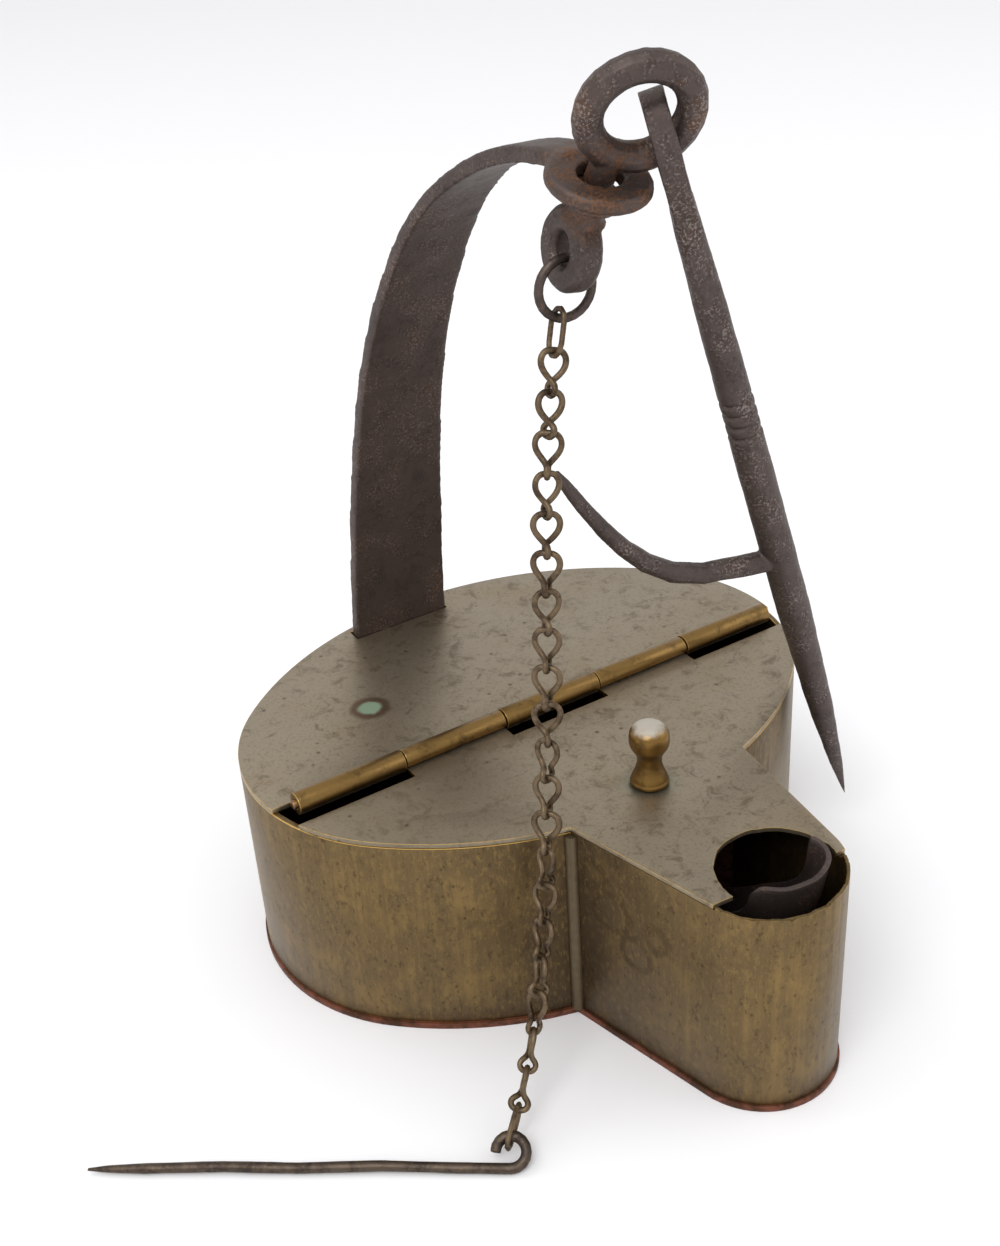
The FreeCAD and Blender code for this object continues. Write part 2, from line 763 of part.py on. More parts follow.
def pick_frame():
    # Shaft direction, direction across the tilted eye to the shaft, far point of the eye
    r, roll = math.radians(pick_heading), math.radians(pick_roll)
    t = V(math.cos(r), math.sin(r), 0)
    q = V(-t.y, t.x, 0) * math.cos(roll) - V(0, 0, 1) * math.sin(roll)
    top, low, up, x = link_frames()[-1]
    return t, q, low + up * hook_in()


def wick_pick():
    t, q, far = pick_frame()
    centre = far + q * pick_eye_radius
    pts, radii = [], []
    for i in range(12):
        a = math.radians(272 - 272 * i / 12)
        pts.append(centre + (q * math.cos(a) - t * math.sin(a)) * pick_eye_radius)
        radii.append(pick_wire)
    near = centre + q * pick_eye_radius
    for s, lift, size in ((0, 0, 1), (0.13, 0.1, 1), (0.3, 0.35, 1), (0.5, 0.1, 1), (0.68, 0.3, 1),
                          (0.86, 0.1, 0.95), (0.95, 0.04, 0.7), (1, 0, 0.3)):
        pts.append(near + t * (s * pick_length) - q * lift)
        radii.append(pick_wire * size)
    return bent_wire(pts, t.cross(q), radii, pick_sides)


def build():
    os.makedirs("parts", exist_ok=True)
    shapes = {
        "reservoir_wall": reservoir_wall(), "spout_wall": spout_wall(),
        "solder_left": solder_bead(-1), "solder_right": solder_bead(1),
        "bottom_plate": bottom_plate(), "rear_plate": rear_plate(),
        "lid": lid(), "hinge_pin": hinge_pin(), "lid_knob": lid_knob(),
        "wick_trough": wick_trough(), "handle": handle(), "swivel": swivel(),
        "spike_hanger": spike_hanger(), "chain_ring": chain_ring()}
    for i, link in enumerate(links()):
        shapes["link_%02d" % (i + 1)] = link
    shapes["wick_pick"] = wick_pick()
    return shapes


if __name__ == "__main__":
    for name, shape in build().items():
        v, f = shape.tessellate(0.05)
        print(name, len(shape.Solids), round(shape.Volume, 2), shape.isValid(), len(f), shape.BoundBox)
        export(shape, name)
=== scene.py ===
import json
import math

import bpy
import numpy as np
from mathutils import Matrix, Quaternion, Vector, noise

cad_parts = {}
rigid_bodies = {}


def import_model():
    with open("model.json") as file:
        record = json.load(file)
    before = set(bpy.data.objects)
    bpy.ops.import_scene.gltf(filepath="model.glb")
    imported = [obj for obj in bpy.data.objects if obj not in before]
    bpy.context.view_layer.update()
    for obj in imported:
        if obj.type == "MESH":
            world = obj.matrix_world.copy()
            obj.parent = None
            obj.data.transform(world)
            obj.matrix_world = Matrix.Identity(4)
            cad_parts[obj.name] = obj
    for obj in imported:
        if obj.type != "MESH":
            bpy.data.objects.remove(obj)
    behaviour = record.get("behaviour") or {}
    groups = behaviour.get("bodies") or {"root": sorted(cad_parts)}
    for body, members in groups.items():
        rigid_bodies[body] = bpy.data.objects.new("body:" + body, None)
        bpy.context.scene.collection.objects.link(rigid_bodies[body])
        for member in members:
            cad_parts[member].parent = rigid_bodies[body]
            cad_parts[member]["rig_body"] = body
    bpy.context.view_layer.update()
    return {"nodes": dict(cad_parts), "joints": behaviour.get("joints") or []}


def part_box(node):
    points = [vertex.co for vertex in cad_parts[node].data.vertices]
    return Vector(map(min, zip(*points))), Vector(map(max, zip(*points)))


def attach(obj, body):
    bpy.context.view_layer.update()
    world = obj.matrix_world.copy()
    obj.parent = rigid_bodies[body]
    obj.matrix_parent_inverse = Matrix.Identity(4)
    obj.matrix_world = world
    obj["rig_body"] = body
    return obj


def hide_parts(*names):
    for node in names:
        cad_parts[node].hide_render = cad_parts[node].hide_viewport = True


bl_info = {
    "name": "Betty lamp",
    "version": (1, 0, 0),
    "blender": (4, 5, 0),
    "location": "3D View > Sidebar > Betty lamp",
    "description": "Dresses the betty lamp's frame with worn sheet, forged iron and wire",
    "category": "Object",
}

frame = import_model()

# Places in the lamp's own frame, in millimetres
MM = 0.001
COVER_TOP = 30.5
NOSE_CENTRE = (0.9, -49.1)
NOSE_RADIUS = 10.0
THIN_RIM = 0.42
BITE_CENTRE = (1.5, -51.0)
BITE_RADIUS = 7.5
KNOB_Y = -28.6
EYE_DISC = (-3.5, -25.8, 106.5)
VERDIGRIS = (-20.2, 8.9, 30.5)
# Centre of the painted reflection of the handle on the covers
HANDLE_REFLECTION_AT = (-27, -14, COVER_TOP)
SHOULDER_RADIUS = 3.1
SHOULDER_THICK = 1.3
SHOULDER_DOWN = 1.95
EYE_FROM = 4.0
EYE_BLEND = 1.5
EYE_STOUTER = 1.22
TROUGH_MOUTH = (0.8, -51.6, 31.0)
TROUGH_RUN = 46.0
MOUTH_CLIMB = math.radians(44)
MOUTH_LEAN = 0.16
LINK_LEAN = 0.34
LINK_SPREAD = 0.05

# Drips on the walls: x, y, z and radius; then the painted shade in the corners beside the spout: x, y and
# reach
WALL_DRIPS = ((-12.2, -33.5, 25.0, 2.3), (-11.9, -36.5, 20.5, 2.8), (-11.5, -40.0, 16.0, 2.2),
              (-11.3, -43.5, 20.0, 1.8), (-16.5, -30.8, 22.0, 2.6), (-18.5, -30.2, 14.0, 2.0))
CORNER_SHADE = ((-13.4, -30, 17), (14.4, -29.5, 14))

# Rings of the knob above the lid: share of its radius and of its height
KNOB_RINGS = ((0.9, 0), (0.96, 0.02), (0.96, 0.07), (0.89, 0.085), (0.89, 0.12), (0.76, 0.2),
              (0.62, 0.31), (0.58, 0.41), (0.66, 0.51), (0.88, 0.6), (0.97, 0.66), (1.0, 0.75),
              (0.96, 0.84), (0.93, 0.87), (0.8, 0.93), (0.52, 0.98), (0.2, 1.0))

# Half of a link's path, from the top of its long loop to the foot of its short one
LINK_HALF = ((0, 0, 2.5), (0.8, 0, 2.5), (1.38, 0, 2.0), (1.56, 0, 1.25), (1.34, 0, 0.5),
             (0.82, 0.03, -0.18), (0.28, 0.3, -0.78), (0.02, 0.82, -1.2), (0, 1.08, -1.72),
             (0, 0.76, -2.32), (0, 0, -2.52))

# How the meshes are joined, rounded and marked
WELD_GAP = 0.002
FLAT_ANGLE = math.radians(0.4)
WORN_ANGLE = math.radians(35)
RIM_ANGLE = math.radians(50)
SMOOTH_ANGLE = math.radians(28)
HAMMER_SIZE = 4.5
PIT_SIZE = 0.8
ROLL_RISE = 0.15
RIM_DEEP = 0.05
BITE_NEAR = 0.08

# Lights in metres: name, place, size and power; then the camera
LIGHTS = (("key", (-0.45, -0.35, 0.75), 0.5, 3.4),
          ("fill", (0.6, -0.4, 0.5), 0.5, 0.9),
          ("back", (-0.5, 0.6, 0.9), 0.6, 1.2))
LIT_AT = (0, -0.01, 0.05)
SKY_STRENGTH = 0.88
CAMERA_AT = (-0.09487, -0.15223, 0.14461)
CAMERA_TURN = (60.287, 3.401, -32.896)
CAMERA_LENS = 43.296
CAMERA_SHIFT = (0.00116, -0.00663)


def tint(red, green, blue):
    """A display colour from 0 to 255 as the light it stands for."""
    steps = [value / 255 for value in (red, green, blue)]
    light = [v / 12.92 if v <= 0.04045 else ((v + 0.055) / 1.055) ** 2.4 for v in steps]
    return (*light, 1.0)


def colour(name, description, shown):
    """A colour property with its default given as it looks on a display."""
    return bpy.props.FloatVectorProperty(
        name=name, description=description, subtype="COLOR", size=4, min=0, max=1, default=tint(*shown))


def length(name, description, size):
    """A length property with its default in millimetres."""
    return bpy.props.FloatProperty(
        name=name, description=description, subtype="DISTANCE", unit="LENGTH", min=0, precision=5,
        default=size * MM)


class BettySizes(bpy.types.PropertyGroup):
    """How far the finish reaches into the shapes."""
    sheet_edge: length("Sheet edge", "Width of the worn edge on the cover sheets", 0.16)
    wall_edge: length("Wall edge", "Width of the worn edge on the walls", 0.12)
    rim_chip: length("Rim chips", "Depth of the chips in the nose's rim", 0.75)
    bite_wander: length("Bite wander", "How far the cut in the lid wanders", 0.14)
    handle_cell: length("Handle cell", "Cell size of the handle's skin", 0.33)
    iron_cell: length("Iron cell", "Cell size of the swivel's and hanger's skin", 0.2)
    wire_cell: length("Wire cell", "Cell size of the chain's skin", 0.11)
    link_wire: length("Link wire", "Radius of the chain's wire", 0.37)
    forging: length("Forging", "Depth of the hammer marks in the iron", 0.22)
    pitting: length("Pitting", "Depth of the rust pits in the iron", 0.07)
    trough_radius: length("Trough radius", "Inner radius of the wick trough", 4.3)
    trough_sheet: length("Trough sheet", "Thickness of the trough's sheet", 0.7)
    trough_slope: bpy.props.FloatProperty(
        name="Trough slope", description="Climb of the wick trough", subtype="ANGLE", unit="ROTATION",
        default=math.radians(38))


class BettyColours(bpy.types.PropertyGroup):
    """The finishes, as they look on a display."""
    wall: colour("Wall", "Brown patina of the walls", (106, 88, 60))
    # Also used for the painted shade in the corners beside the spout
    wall_dark: colour("Wall stains", "Darker stains and streaks of the walls", (58, 45, 31))
    wall_gold: colour("Wall gold", "Golden rubbed places of the walls", (138, 113, 70))
    cover: colour("Cover", "Dull patina of the lid and the rear plate", (152, 140, 121))
    # Also used for the painted reflection of the handle on the covers
    cover_dark: colour("Cover mottle", "Darker mottle of the covers", (108, 96, 78))
    worn: colour("Worn edge", "Bright edge of worn sheet", (200, 165, 98))
    hinge: colour("Hinge", "Rubbed metal of the hinge rolls", (132, 104, 60))
    knob: colour("Knob", "Turned metal of the knob", (126, 97, 52))
    verdigris: colour("Verdigris", "Green spot on the rear plate", (112, 136, 112))
    copper: colour("Copper", "Edge of the bottom plate", (124, 78, 62))
    cover_brown: colour("Cover brown", "Warmer clouds of the covers", (140, 120, 90))
    spot_rim: colour("Spot rim", "Brown rim round the green spot", (92, 66, 48))
    # Painted reflection of the knob: a darker grey-green ring round its foot on the lid
    knob_reflection: colour("Residue", "Pale residue round the knob's foot", (126, 132, 116))
    crown: colour("Crown", "Whitish crown of the knob", (196, 192, 182))
    pin_end: colour("Pin end", "Coppery end of the hinge pin", (150, 112, 96))
    solder: colour("Solder", "Old solder", (120, 106, 84))
    solder_dark: colour("Solder stains", "Darker places of the solder", (82, 68, 50))
    iron: colour("Iron", "Dark hand-worked iron", (84, 73, 69))
    iron_dark: colour("Iron stains", "Darkest patches of the iron", (58, 49, 47))
    iron_light: colour("Iron light", "Bare and rubbed places of the iron", (158, 150, 146))
    rust: colour("Rust", "Brown and orange rust", (132, 88, 54))
    wire: colour("Wire", "Brown wire of the chain", (112, 95, 74))
    wire_dark: colour("Wire stains", "Darker patches of the chain", (70, 56, 44))
    pick: colour("Pick", "Greyer wire of the pick", (88, 76, 66))
    pick_dark: colour("Pick stains", "Dark patches of the ring and the pick", (58, 50, 45))
    floor: colour("Floor", "Pale floor and backdrop", (246, 246, 248))


class Mark:
    """A value inside a material, so that its maths reads as a sum."""

    def __init__(self, paint, socket):
        self.paint = paint
        self.socket = socket

    def maths(self, operation, first, second):
        return self.paint.node("ShaderNodeMath", {"operation": operation}, {0: first, 1: second})

    def __add__(self, other):
        return self.maths("ADD", self, other)

    __radd__ = __add__

    def __sub__(self, other):
        return self.maths("SUBTRACT", self, other)

    def __rsub__(self, other):
        return self.maths("SUBTRACT", other, self)

    def __mul__(self, other):
        return self.maths("MULTIPLY", self, other)

    def __abs__(self):
        return self.maths("ABSOLUTE", self, 0)


class Paint:
    """A material that is mixed node by node from the lamp's own coordinates."""

    def __init__(self, name):
        self.material = bpy.data.materials.new(name)
        self.material.use_nodes = True
        self.nodes = self.material.node_tree.nodes
        self.links = self.material.node_tree.links
        self.shader = self.nodes["Principled BSDF"]
        self.place = self.node("ShaderNodeTexCoord", out="Object")

    def node(self, kind, settings=None, inputs=None, out=0):
        """Any node, from its type, its settings and the values or links of its sockets."""
        made = self.nodes.new(kind)
        for key, value in (settings or {}).items():
            setattr(made, key, value)
        for key, value in (inputs or {}).items():
            self.feed(made.inputs[key], value)
        return Mark(self, made.outputs[out])

    def feed(self, socket, value):
        if isinstance(value, Mark):
            self.links.new(value.socket, socket)
        else:
            socket.default_value = value

    def stretched(self, stretch):
        return self.node("ShaderNodeMapping", {}, {"Vector": self.place, "Scale": stretch})

    def grain(self, size, detail=4, rough=0.6, stretch=(1, 1, 1), shift=0.0, warp=0.0):
        """Cloudy noise with features of a size in millimetres."""
        return self.node(
            "ShaderNodeTexNoise", {"noise_dimensions": "4D"},
            {"Vector": self.stretched(stretch), "Scale": 1 / (size * MM), "Detail": detail,
             "Roughness": rough, "W": shift, "Distortion": warp}, "Fac")

    def pits(self, size, stretch=(1, 1, 1)):
        """Distance to the nearest of scattered points, in cells of a size in millimetres."""
        return self.node("ShaderNodeTexVoronoi", {"feature": "F1"},
                         {"Vector": self.stretched(stretch), "Scale": 1 / (size * MM)}, "Distance")

    def rise(self, value, low, high):
        """0 below low, 1 above high, and smooth between them."""
        return self.node("ShaderNodeMapRange", {"interpolation_type": "SMOOTHSTEP"},
                         {"Value": value, "From Min": low, "From Max": high})

    def away(self, centre):
        """Distance from a point, both in millimetres; without a height it is an upright line."""
        x, y, z = centre
        height = self.axis("Z") * MM if z is None else z * MM
        target = self.node("ShaderNodeCombineXYZ", {}, {0: x * MM, 1: y * MM, 2: height})
        gap = self.node("ShaderNodeVectorMath", {"operation": "DISTANCE"},
                        {0: self.place, 1: target}, "Value")
        return gap * (1 / MM)

    def axis(self, name):
        """The place along one axis, in millimetres."""
        return self.node("ShaderNodeSeparateXYZ", {}, {0: self.place}, name) * (1 / MM)

    def mix(self, share, first, second):
        return self.node("ShaderNodeMix", {"data_type": "RGBA"}, {0: share, 6: first, 7: second}, 2)

    def finish(self, base, roughness, metallic, relief=None, depth=0.1):
        """Feeds the shader; relief is a height from 0 to 1 that stands for depth millimetres."""
        self.feed(self.shader.inputs["Base Color"], base)
        self.feed(self.shader.inputs["Roughness"], roughness)
        self.feed(self.shader.inputs["Metallic"], metallic)
        if relief is not None:
            bump = self.node("ShaderNodeBump", {}, {"Height": relief, "Distance": depth * MM}, "Normal")
            self.feed(self.shader.inputs["Normal"], bump)
        return self.material


def sizes():
    return bpy.context.scene.betty_sizes


def colours():
    return bpy.context.scene.betty_colours


def wall_finish():
    """Brown patina with upright streaks, drips beside the spout and painted shade spreading from the
    corners where the spout meets the walls.
    """
    ink = colours()
    paint = Paint("wall_patina")
    clouds = paint.grain(9, 5, 0.62, shift=1.0, warp=0.6)
    streaks = paint.grain(1.3, 4, 0.65, stretch=(1, 1, 0.06), shift=2.0)
    fleck = paint.grain(0.5, 3, 0.7, stretch=(1, 1, 0.45), shift=3.0)
    gold = paint.rise(clouds * 0.55 + streaks * 0.45, 0.46, 0.66)
    dark = paint.rise(paint.grain(5, 5, 0.7, shift=5.0, warp=1.2), 0.53, 0.72)
    base = paint.mix(gold * 0.75, ink.wall, ink.wall_gold)
    base = paint.mix(dark * 0.45, base, ink.wall_dark)
    drips = None
    for x, y, z, ring in WALL_DRIPS:
        wobble = paint.away((x, y, z)) + (clouds - 0.5) * 3.5
        band = 1 - paint.rise(abs(wobble - ring), 0.2, 0.9)
        drips = band if drips is None else paint.node(
            "ShaderNodeMath", {"operation": "MAXIMUM"}, {0: drips, 1: band})
    base = paint.mix(drips * paint.rise(streaks, 0.3, 0.6) * 0.5, base, ink.wall_dark)
    low = 1 - paint.rise(paint.axis("Z") + (clouds - 0.5) * 5, 0.5, 4.5)
    base = paint.mix(low * 0.35, base, ink.wall_dark)
    # Painted shade: darker towards the upright corners where the spout meets the walls
    for x, y, reach in CORNER_SHADE:
        shade = 1 - paint.rise(paint.away((x, y, None)) + (clouds - 0.5) * 9, 1, reach)
        base = paint.mix(shade * 0.62, base, ink.wall_dark)
    speck = paint.rise(paint.pits(1.9, (1, 1, 0.8)) * -1, -0.16, -0.04)
    base = paint.mix(speck * 0.6, base, ink.wall_dark)
    base = paint.mix(paint.rise(fleck, 0.48, 0.68) * 0.45, base, ink.wall_gold)
    grime = paint.rise(paint.grain(0.8, 5, 0.75, stretch=(1, 1, 0.55), shift=6.0), 0.53, 0.66)
    base = paint.mix(grime * 0.55, base, ink.wall_dark)
    rough = 0.33 + clouds * 0.16 + dark * 0.1 + drips * 0.08
    relief = clouds * 0.5 + fleck * 0.12 + streaks * 0.1 - speck * 0.12
    return paint.finish(base, rough, 0.92 - dark * 0.2, relief, 0.12)


def cover_finish():
    """Dull grey-olive patina with dark mottle, a green spot, a painted reflection of the knob round its
    foot and a painted reflection of the handle.
    """
    ink = colours()
    paint = Paint("cover_patina")
    clouds = paint.grain(11, 5, 0.6, shift=11.0, warp=0.5)
    mottle = paint.grain(2.6, 5, 0.68, shift=12.0, warp=0.8)
    fine = paint.grain(0.45, 3, 0.7, shift=13.0)
    base = paint.mix(paint.rise(clouds, 0.45, 0.75) * 0.4, ink.cover, ink.cover_brown)
    base = paint.mix(paint.rise(mottle, 0.5, 0.68) * 0.75, base, ink.cover_dark)
    base = paint.mix(paint.rise(fine, 0.5, 0.66) * 0.4, base, ink.cover_dark)
    # Painted reflection of the handle: a soft dark patch on the covers
    handle_reflection = 1 - paint.rise(paint.away(HANDLE_REFLECTION_AT) + (clouds - 0.5) * 10, 6, 20)
    base = paint.mix(handle_reflection * 0.5, base, ink.cover_dark)
    nick = paint.rise(paint.pits(3.4) * -1, -0.13, -0.03)
    base = paint.mix(nick * 0.65, base, ink.wall_dark)
    spot = paint.away(VERDIGRIS) + (mottle - 0.5) * 1.4
    base = paint.mix((1 - paint.rise(spot, 2.3, 3.3)) * 0.8, base, ink.spot_rim)
    green = 1 - paint.rise(spot, 1.2, 2.0)
    base = paint.mix(green * 0.85, base, ink.verdigris)
    # Painted reflection of the knob: a darker ring round its foot
    knob_reflection_ring = paint.away((0, KNOB_Y, COVER_TOP)) + (mottle - 0.5) * 2.5
    base = paint.mix((1 - paint.rise(knob_reflection_ring, 2.6, 4.4)) * 0.45, base, ink.knob_reflection)
    rough = 0.34 + mottle * 0.2 + green * 0.3
    relief = clouds * 0.7 + mottle * 0.16 + fine * 0.07 - nick * 0.15
    return paint.finish(base, rough, 0.9 - green * 0.7, relief, 0.14)


def rubbed_finish(name, base_ink, rough_from):
    """Bright metal that hands and lids have rubbed, with brown left in the hollows."""
    ink = colours()
    paint = Paint(name)
    clouds = paint.grain(2.0, 5, 0.65, shift=21.0, warp=0.4)
    fine = paint.grain(0.35, 3, 0.7, shift=22.0)
    base = paint.mix(paint.rise(clouds, 0.5, 0.72) * 0.6, base_ink, ink.wall_dark)
    base = paint.mix((fine - 0.4) * 0.5, base, ink.wall_dark)
    return paint.finish(base, rough_from + clouds * 0.2, 0.95, clouds * 0.5 + fine * 0.2, 0.08)


def knob_finish():
    """Golden turned metal, whitish on its crown and brown round its waist."""
    ink = colours()
    paint = Paint("knob_metal")
    clouds = paint.grain(1.6, 5, 0.65, shift=31.0, warp=0.4)
    rings = paint.grain(0.25, 2, 0.5, stretch=(0.15, 0.15, 1), shift=32.0)
    up = paint.axis("Z") - COVER_TOP
    crown = paint.rise(up + (clouds - 0.5) * 1.6, 7.9, 8.8)
    waist = 1 - paint.rise(abs(up - 3.4), 0.4, 2.2)
    foot = 1 - paint.rise(up, 0.1, 0.7)
    base = paint.mix(paint.rise(clouds, 0.48, 0.7) * 0.5, ink.knob, ink.wall_dark)
    base = paint.mix(waist * 0.3 + foot * 0.5, base, ink.wall_dark)
    base = paint.mix(crown * 0.75, base, ink.crown)
    rough = 0.27 + clouds * 0.14 + crown * 0.25
    return paint.finish(base, rough, 0.95 - crown * 0.55, clouds * 0.5 + rings * 0.3, 0.06)


def iron_finish(name, light, brown, rust_at=None, rust_reach=0.0):
    """Dark hand-worked iron with light specks and brown rust, which may gather round one place."""
    ink = colours()
    paint = Paint(name)
    clouds = paint.grain(7, 5, 0.62, shift=41.0, warp=0.5)
    patches = paint.grain(2.4, 6, 0.72, shift=42.0, warp=0.8)
    specks = paint.grain(0.32, 3, 0.7, shift=43.0)
    base = paint.mix(paint.rise(patches, 0.42, 0.66) * 0.7, ink.iron, ink.iron_dark)
    base = paint.mix(paint.rise(clouds * 0.6 + patches * 0.4, 0.48, 0.64) * brown, base, ink.rust)
    bare = paint.rise(specks, 0.5, 0.6) * paint.rise(clouds * 0.5 + patches * 0.5, 0.44, 0.6)
    base = paint.mix(bare * light, base, ink.iron_light)
    rough = 0.4 + patches * 0.25
    if rust_at:
        near = 1 - paint.rise(paint.away(rust_at) + (patches - 0.5) * 6, rust_reach * 0.55, rust_reach)
        rust = near * paint.rise(patches * 0.5 + specks * 0.5, 0.46, 0.58)
        base = paint.mix(rust * 0.6, base, ink.rust)
        rough = rough + rust * 0.15
    relief = patches * 0.5 + specks * 0.35
    return paint.finish(base, rough, 0.82, relief, 0.12)


def wire_finish(name, base_ink, dark_ink):
    """Brown wire, darker in patches and lighter where the links rub."""
    ink = colours()
    paint = Paint(name)
    patches = paint.grain(2.2, 5, 0.7, shift=51.0, warp=0.6)
    fine = paint.grain(0.4, 3, 0.7, shift=52.0)
    base = paint.mix(paint.rise(patches, 0.4, 0.66), base_ink, dark_ink)
    base = paint.mix(paint.rise(fine, 0.55, 0.7) * 0.4, base, ink.wall_gold)
    return paint.finish(base, 0.38 + patches * 0.2, 0.85, patches * 0.5 + fine * 0.3, 0.05)


def copper_finish():
    """Copper edge, bright in places and brown where the walls stand on it."""
    ink = colours()
    paint = Paint("copper_edge")
    patches = paint.grain(3.0, 5, 0.7, shift=61.0, warp=0.5)
    base = paint.mix(paint.rise(patches, 0.4, 0.62) * 0.8, ink.copper, ink.wall_dark)
    return paint.finish(base, 0.42 + patches * 0.15, 0.9, patches, 0.06)


def solder_finish():
    """Dull grey solder, brown with age."""
    ink = colours()
    paint = Paint("old_solder")
    patches = paint.grain(1.4, 5, 0.7, shift=71.0)
    base = paint.mix(patches, ink.solder, ink.solder_dark)
    return paint.finish(base, 0.42 + patches * 0.15, 0.8, patches, 0.12)


def put_down():
    """Leaves edit mode and deselects everything."""
    if bpy.context.object and bpy.context.object.mode != "OBJECT":
        bpy.ops.object.mode_set(mode="OBJECT")
    bpy.ops.object.select_all(action="DESELECT")


def take_up(piece):
    """Selects one piece alone."""
    put_down()
    piece.select_set(True)
    bpy.context.view_layer.objects.active = piece


def on_whole(piece, work, **settings):
    """Runs a mesh operator on all of one piece."""
    take_up(piece)
    bpy.ops.object.mode_set(mode="EDIT")
    bpy.ops.mesh.select_all(action="SELECT")
    work(**settings)
    bpy.ops.object.mode_set(mode="OBJECT")


def welded_copy(node):
    """A copy of a frame node with its loose triangles joined into one skin."""
    source = frame["nodes"][node]
    piece = bpy.data.objects.new("finished_" + node, source.data.copy())
    bpy.context.scene.collection.objects.link(piece)
    piece.data.materials.clear()
    take_up(piece)
    bpy.ops.mesh.customdata_custom_splitnormals_clear()
    on_whole(piece, bpy.ops.mesh.remove_doubles, threshold=WELD_GAP * MM)
    return piece


def modify(piece, kind, **settings):
    """Adds a modifier and applies it."""
    take_up(piece)
    modifier = piece.modifiers.new(kind, kind)
    for key, value in settings.items():
        setattr(modifier, key, value)
    bpy.ops.object.modifier_apply(modifier=modifier.name)


def stand_for(piece, node):
    """The piece takes a frame node's place and body; the node is hidden."""
    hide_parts(node)
    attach(piece, frame["nodes"][node]["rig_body"])


def flatten(piece):
    """Joins triangles that lie in one plane into whole faces."""
    on_whole(piece, bpy.ops.mesh.dissolve_limited, angle_limit=FLAT_ANGLE)


def pick_edges(piece, wanted):
    """Enters edit mode and selects the edges whose two ends, in millimetres, are wanted."""
    take_up(piece)
    bpy.ops.object.mode_set(mode="EDIT")
    bpy.ops.mesh.select_mode(type="EDGE")
    bpy.ops.mesh.select_all(action="DESELECT")
    bpy.ops.object.mode_set(mode="OBJECT")
    mesh = piece.data
    for edge in mesh.edges:
        edge.select = wanted(*(mesh.vertices[i].co / MM for i in edge.vertices))
    bpy.ops.object.mode_set(mode="EDIT")


def worn_bevel(piece, width, angle=WORN_ANGLE):
    """Rounds the sharp edges; the new faces take the second finish."""
    modify(piece, "BEVEL", width=width, segments=2, limit_method="ANGLE", angle_limit=angle, material=1)


def smooth_sheet(piece, angle=SMOOTH_ANGLE):
    take_up(piece)
    bpy.ops.object.shade_smooth_by_angle(angle=angle)


def sheet_piece(node, finishes, edge=0, angle=WORN_ANGLE, shape=None):
    """A sheet part from its frame node: shape changes it before its edges wear, and edge 0 leaves them."""
    piece = welded_copy(node)
    flatten(piece)
    for finish in finishes:
        piece.data.materials.append(finish)
    if shape:
        shape(piece)
    if edge:
        worn_bevel(piece, edge, angle)
    smooth_sheet(piece)
    stand_for(piece, node)


def iron_piece(node, finish, cell, marks):
    """A forged part from its frame node."""
    forge(welded_copy(node), node, finish, cell, marks)


def clouds_texture(name, size, depth):
    """A cloud texture with features of a size in millimetres, made once."""
    texture = bpy.data.textures.get(name) or bpy.data.textures.new(name, "CLOUDS")
    texture.noise_scale = size * MM
    texture.noise_depth = depth
    return texture


def forge(piece, node, finish, cell, marks):
    """One skin of even cells, smoothed and marked by hammer and rust."""
    modify(piece, "REMESH", mode="VOXEL", voxel_size=cell, use_smooth_shade=True)
    modify(piece, "SMOOTH", factor=0.5, iterations=4)
    hammer = clouds_texture("hammer marks", HAMMER_SIZE, 1)
    rust = clouds_texture("rust pits", PIT_SIZE, 3)
    modify(piece, "DISPLACE", texture=hammer, strength=sizes().forging * marks, mid_level=0.5)
    modify(piece, "DISPLACE", texture=rust, strength=sizes().pitting * marks, mid_level=0.5)
    piece.data.materials.append(finish)
    stand_for(piece, node)


def chip_rim(piece, wanted, cuts, move):
    """Divides the edges between wanted places, then moves every point in a wanted place."""
    pick_edges(piece, lambda first, second: wanted(first) and wanted(second))
    bpy.ops.mesh.subdivide(number_cuts=cuts)
    bpy.ops.object.mode_set(mode="OBJECT")
    for vertex in piece.data.vertices:
        place = vertex.co / MM
        if wanted(place):
            vertex.co = move(place) * MM
    piece.data.update()


class BettyBody(bpy.types.Operator):
    """Walls, solder and bottom plate, with a chipped rim round the nose"""
    bl_idname = "betty.body"
    bl_label = "Body"

    def execute(self, context):
        wall = wall_finish()
        worn = rubbed_finish("wall_edge", colours().worn, 0.3)
        sheet_piece("reservoir_wall", (wall, worn), sizes().wall_edge)
        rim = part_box("spout_wall")[1].z / MM
        nose = Vector((*NOSE_CENTRE, 0))
        deep = sizes().rim_chip / MM

        def on_rim(place):
            return place.z > rim - RIM_DEEP

        def chipped(place):
            out = Vector((place.x, place.y, 0)) - nose
            turn = math.atan2(out.y, out.x)
            around = Vector((math.cos(turn), math.sin(turn), 0))
            slow = noise.noise(around * 2.6 + Vector((3.1, 0, 0)))
            quick = noise.noise(around * 9.0 + Vector((0, 5.2, 0)))
            front_right = 1 if -1.5 < turn < 0.2 else 0.45
            fall = min(max(0.5 + slow * 1.1, 0), 1) * 0.6 + abs(quick) * 1.5 * front_right
            inside = out.length < NOSE_RADIUS - 0.5 and place.y < NOSE_CENTRE[1] - 1.5
            thin = out.normalized() * (THIN_RIM if inside else 0)
            return place + thin - Vector((0, 0, deep * min(fall, 1.3)))

        def chip(piece):
            chip_rim(piece, on_rim, 4, chipped)

        sheet_piece("spout_wall", (wall, worn), sizes().wall_edge * 0.6, RIM_ANGLE, chip)
        for node in ("solder_left", "solder_right"):
            sheet_piece(node, (solder_finish(),))
        copper = copper_finish()
        sheet_piece("bottom_plate", (copper, copper), sizes().wall_edge)
        return {"FINISHED"}


